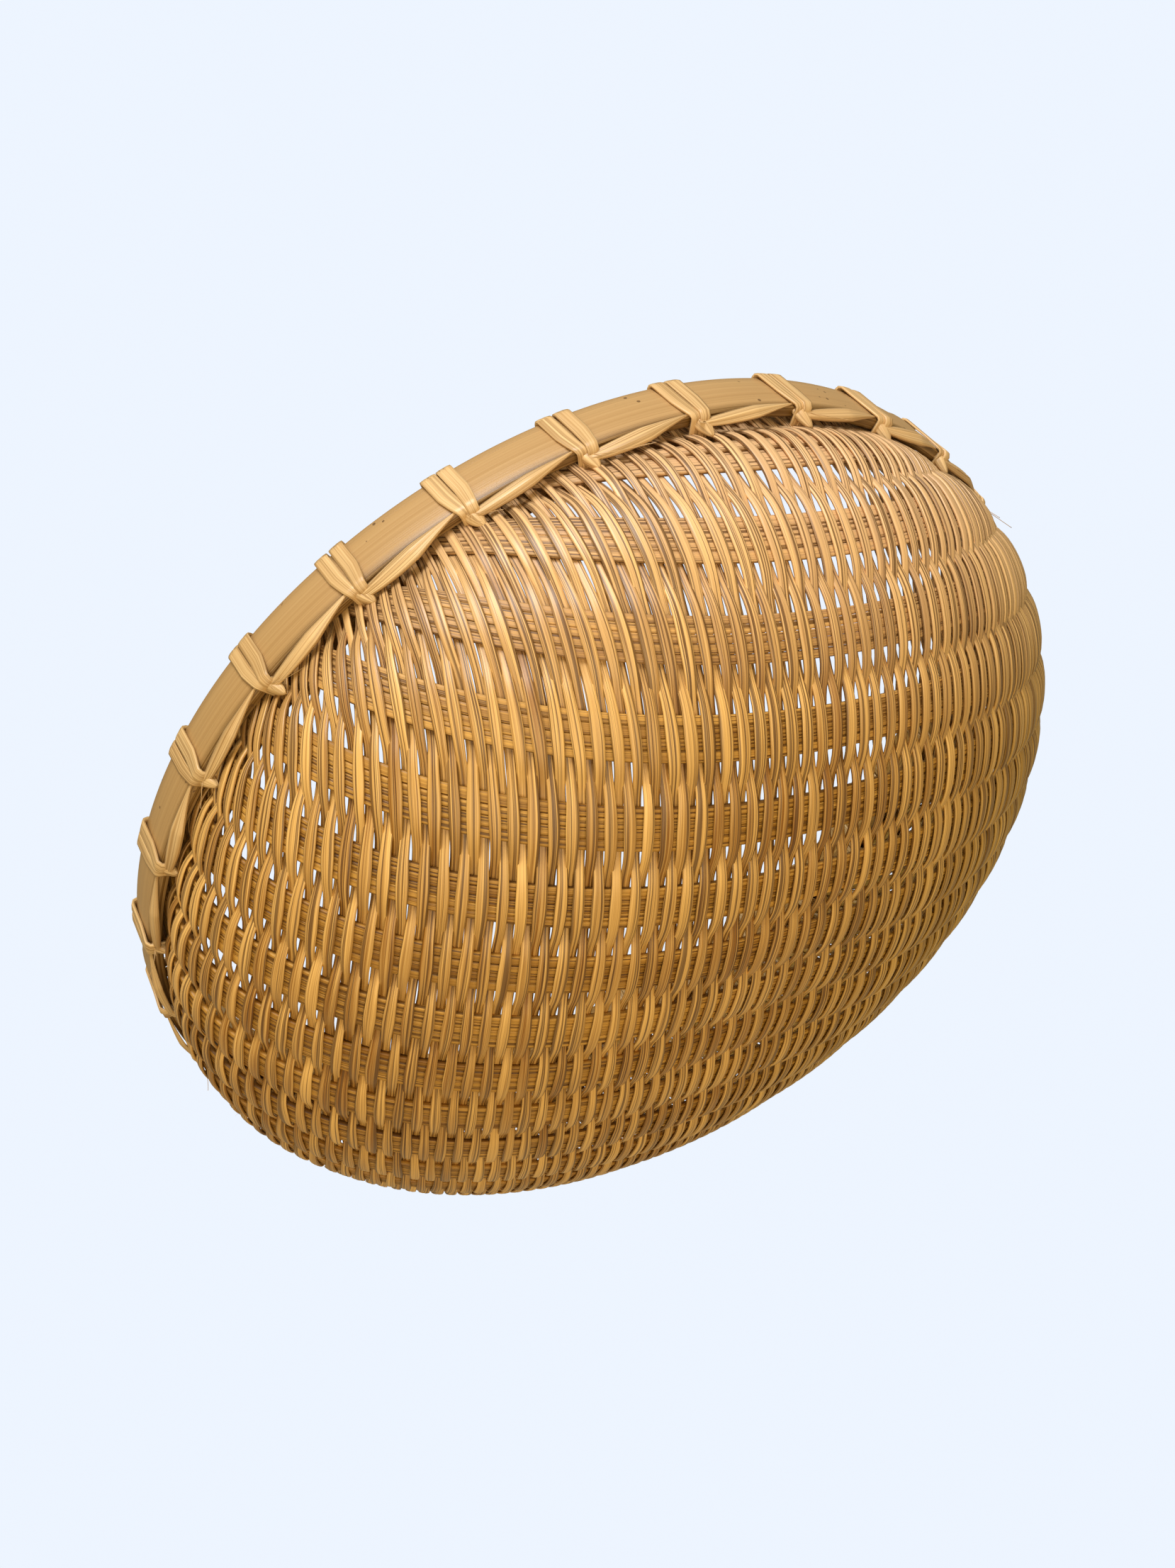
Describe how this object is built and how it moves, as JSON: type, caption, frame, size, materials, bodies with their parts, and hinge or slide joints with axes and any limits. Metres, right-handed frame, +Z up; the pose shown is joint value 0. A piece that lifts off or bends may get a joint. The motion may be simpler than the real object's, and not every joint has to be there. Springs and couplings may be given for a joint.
{
  "type": "woven bamboo colander basket",
  "caption": "Shallow round bamboo basket: flat ribs crossed by thin weavers, edge clamped between two hoops and bound with lashing.",
  "frame": {"origin": "middle of the flat base that the basket stands on", "axes": "+Z up out of the open mouth, +X along the ribs, +Y along the weavers"},
  "size_m": [0.2418, 0.2422, 0.0811],
  "materials": {
    "outer_hoop": "smooth bamboo skin, satin, tan with small dark specks",
    "inner_hoop": "split bamboo, matt inner face",
    "rib_splint": "split bamboo, fine lengthwise fibres, matt",
    "weaver_splint": "thin split bamboo, fibrous, slight sheen",
    "lashing_strip": "pale pared bamboo strip, satin"
  },
  "bodies": {
    "root": {"rim_outer_hoop": "outer_hoop", "rim_inner_hoop": "inner_hoop", "rib_01": "rib_splint", "rib_02": "rib_splint", "rib_03": "rib_splint", "rib_04": "rib_splint", "rib_05": "rib_splint", "rib_06": "rib_splint", "rib_07": "rib_splint", "rib_08": "rib_splint", "rib_09": "rib_splint", "rib_10": "rib_splint", "rib_11": "rib_splint", "rib_12": "rib_splint", "rib_13": "rib_splint", "rib_14": "rib_splint", "rib_15": "rib_splint", "rib_16": "rib_splint", "rib_17": "rib_splint", "weaver_band_01": "weaver_splint", "weaver_band_02": "weaver_splint", "weaver_band_03": "weaver_splint", "weaver_band_04": "weaver_splint", "weaver_band_05": "weaver_splint", "weaver_band_06": "weaver_splint", "weaver_band_07": "weaver_splint", "weaver_band_08": "weaver_splint", "weaver_band_09": "weaver_splint", "weaver_band_10": "weaver_splint", "weaver_band_11": "weaver_splint", "weaver_band_12": "weaver_splint", "weaver_band_13": "weaver_splint", "weaver_band_14": "weaver_splint", "weaver_band_15": "weaver_splint", "weaver_band_16": "weaver_splint", "weaver_band_17": "weaver_splint", "weaver_band_18": "weaver_splint", "weaver_band_19": "weaver_splint", "weaver_band_20": "weaver_splint", "weaver_band_21": "weaver_splint", "weaver_band_22": "weaver_splint", "weaver_band_23": "weaver_splint", "weaver_band_24": "weaver_splint", "weaver_band_25": "weaver_splint", "weaver_band_26": "weaver_splint", "weaver_band_27": "weaver_splint", "weaver_band_28": "weaver_splint", "weaver_band_29": "weaver_splint", "weaver_band_30": "weaver_splint", "weaver_band_31": "weaver_splint", "rim_lashing_01": "lashing_strip", "rim_lashing_02": "lashing_strip", "rim_lashing_03": "lashing_strip"}
  },
  "joints": []
}
